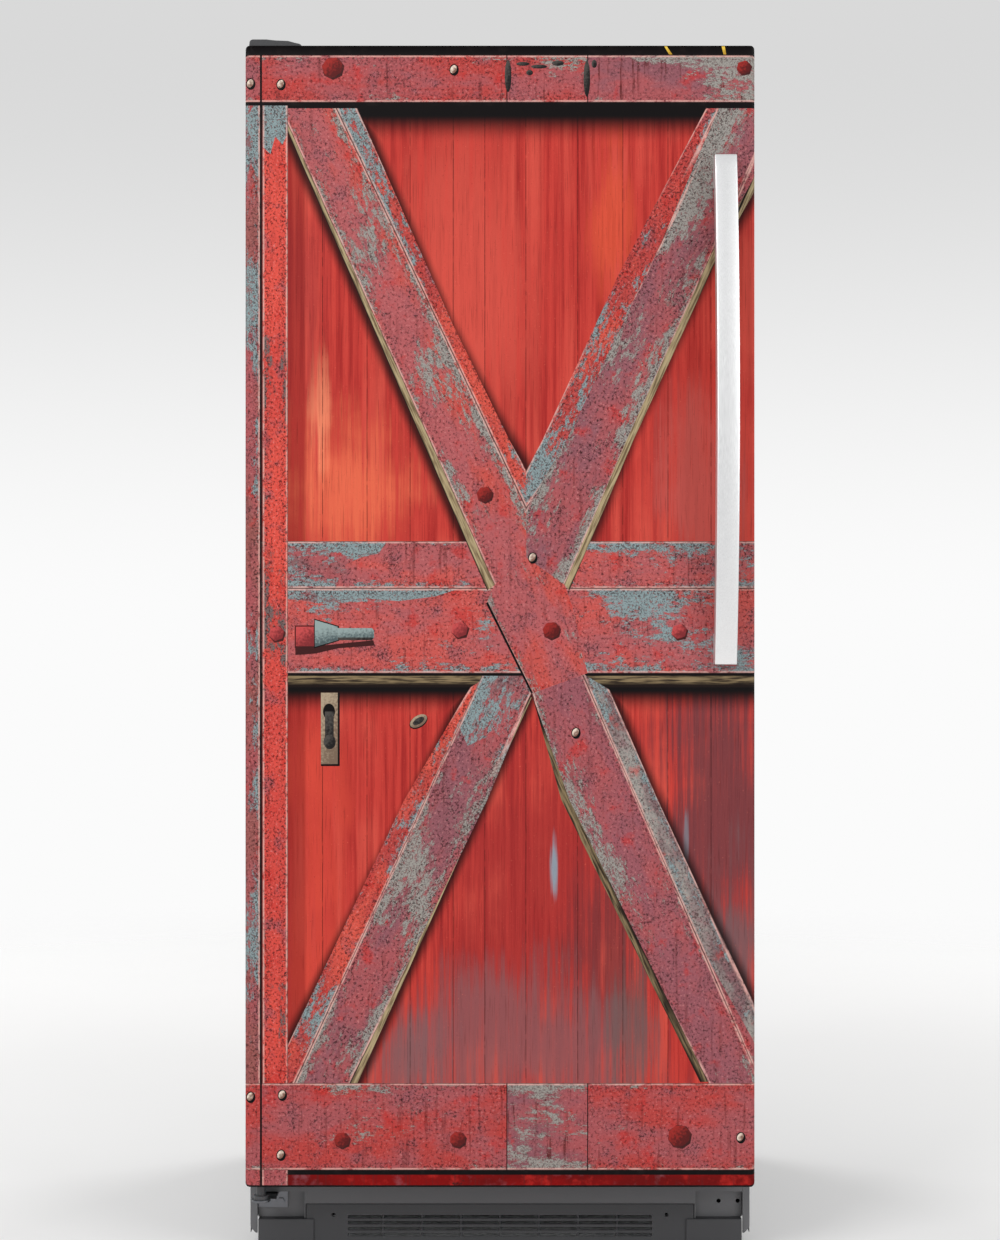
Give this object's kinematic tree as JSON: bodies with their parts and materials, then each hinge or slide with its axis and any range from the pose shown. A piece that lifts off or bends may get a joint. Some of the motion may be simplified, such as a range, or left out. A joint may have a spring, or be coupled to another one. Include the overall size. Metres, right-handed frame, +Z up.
{
  "type": "upright refrigerator with a printed door film",
  "caption": "Tall single-door refrigerator with a bowed metal handle, glass shelves and crispers; a printed film on its door pictures a red plank barn door.",
  "frame": {"origin": "on the floor, under the middle of the machine's overall box", "axes": "+Z up, the door faces -Y, +X to the right of someone who faces the door"},
  "size_m": [0.757, 0.771, 1.8193],
  "materials": {
    "cabinet_paint": "satin",
    "bare_steel": "satin",
    "foam": "matte",
    "liner_plastic": "gloss",
    "white_plastic": "matte",
    "grey_plastic": "matte",
    "dark_plastic": "matte",
    "clear_plastic": "gloss",
    "shelf_glass": "gloss",
    "lamp_board": "satin",
    "can_paint": "satin",
    "copper": "satin",
    "rubber": "matte",
    "gasket_vinyl": "matte",
    "nylon": "satin",
    "aluminium": "satin",
    "handle_metal": "brushed",
    "printed_film": "satin"
  },
  "bodies": {
    "cabinet": {"cabinet_shell": "cabinet_paint", "back_panel": "cabinet_paint", "bottom_plate": "bare_steel", "cabinet_foam": "foam", "cabinet_liner": "liner_plastic", "base_pan": "bare_steel", "front_rail": "cabinet_paint", "toe_grille": "grey_plastic", "top_hinge_bracket": "bare_steel", "top_hinge_cover": "grey_plastic", "bottom_hinge_bracket": "bare_steel", "hinge_bolts": "bare_steel", "hinge_riser": "nylon", "roller_axles": "bare_steel", "control_housing": "white_plastic", "lamp_cover": "clear_plastic", "lamp": "lamp_board", "evaporator_cover": "white_plastic", "evaporator_coil": "aluminium", "fan_motors": "dark_plastic", "drain_tube": "white_plastic", "compressor": "can_paint", "compressor_grommets": "rubber", "drip_tray": "white_plastic", "condenser": "can_paint", "refrigerant_tubes": "copper", "machine_cover": "grey_plastic", "shelf_frame_1": "white_plastic", "shelf_frame_2": "white_plastic", "shelf_frame_3": "white_plastic", "crisper_lid_frame": "white_plastic", "shelf_glass_1": "shelf_glass", "shelf_glass_2": "shelf_glass", "shelf_glass_3": "shelf_glass", "crisper_lid_glass": "shelf_glass", "crisper_left": "clear_plastic", "crisper_right": "clear_plastic"},
    "door": {"door_skin": "cabinet_paint", "door_foam": "foam", "door_liner": "liner_plastic", "door_ribs": "liner_plastic", "door_gasket": "gasket_vinyl", "door_cap_top": "grey_plastic", "door_cap_bottom": "grey_plastic", "door_bushings": "nylon", "door_wrap": "printed_film", "handle_bar": "handle_metal", "handle_studs": "bare_steel", "door_bin_1": "clear_plastic", "door_bin_2": "clear_plastic", "door_bin_3": "clear_plastic", "door_bin_4": "clear_plastic"},
    "leg_left": {"leg_left": "dark_plastic"},
    "leg_right": {"leg_right": "dark_plastic"},
    "roller_left": {"roller_left": "dark_plastic"},
    "roller_right": {"roller_right": "dark_plastic"},
    "evaporator_fan": {"evaporator_fan": "white_plastic"},
    "condenser_fan": {"condenser_fan": "white_plastic"},
    "temperature_knob": {"temperature_knob": "white_plastic"},
    "switch_plunger": {"switch_plunger": "white_plastic"}
  },
  "joints": [
    {"name": "door_hinge", "type": "hinge", "parent": "cabinet", "child": "door", "pos_m": [-0.358, -0.2915, 0.96], "axis": [0, 0, -1], "range_deg": [0, 125]},
    {"name": "leg_left_turn", "type": "hinge", "parent": "cabinet", "child": "leg_left", "pos_m": [-0.336, -0.1925, 0.04], "axis": [0, 0, 1], "range_deg": [-720, 720]},
    {"name": "leg_right_turn", "type": "hinge", "parent": "cabinet", "child": "leg_right", "pos_m": [0.336, -0.1925, 0.04], "axis": [0, 0, 1], "range_deg": [-720, 720]},
    {"name": "roller_left_spin", "type": "hinge", "parent": "cabinet", "child": "roller_left", "pos_m": [-0.326, 0.3255, 0.02], "axis": [1, 0, 0], "continuous": true},
    {"name": "roller_right_spin", "type": "hinge", "parent": "cabinet", "child": "roller_right", "pos_m": [0.326, 0.3255, 0.02], "axis": [1, 0, 0], "continuous": true},
    {"name": "evaporator_fan_spin", "type": "hinge", "parent": "cabinet", "child": "evaporator_fan", "pos_m": [0, 0.3035, 1.5775], "axis": [0, -1, 0], "continuous": true},
    {"name": "condenser_fan_spin", "type": "hinge", "parent": "cabinet", "child": "condenser_fan", "pos_m": [0.056, 0.2805, 0.1375], "axis": [-1, 0, 0], "continuous": true},
    {"name": "temperature_knob_turn", "type": "hinge", "parent": "cabinet", "child": "temperature_knob", "pos_m": [-0.09, -0.19, 1.7295], "axis": [0, 1, 0], "range_deg": [-135, 135]},
    {"name": "switch_plunger_slide", "type": "slide", "parent": "cabinet", "child": "switch_plunger", "axis": [0, -1, 0], "range_m": [0, 0.005]}
  ],
  "couplings": [
    {"joint": "switch_plunger_slide", "follows": "door_hinge", "m_per_rad": 0.0022}
  ]
}
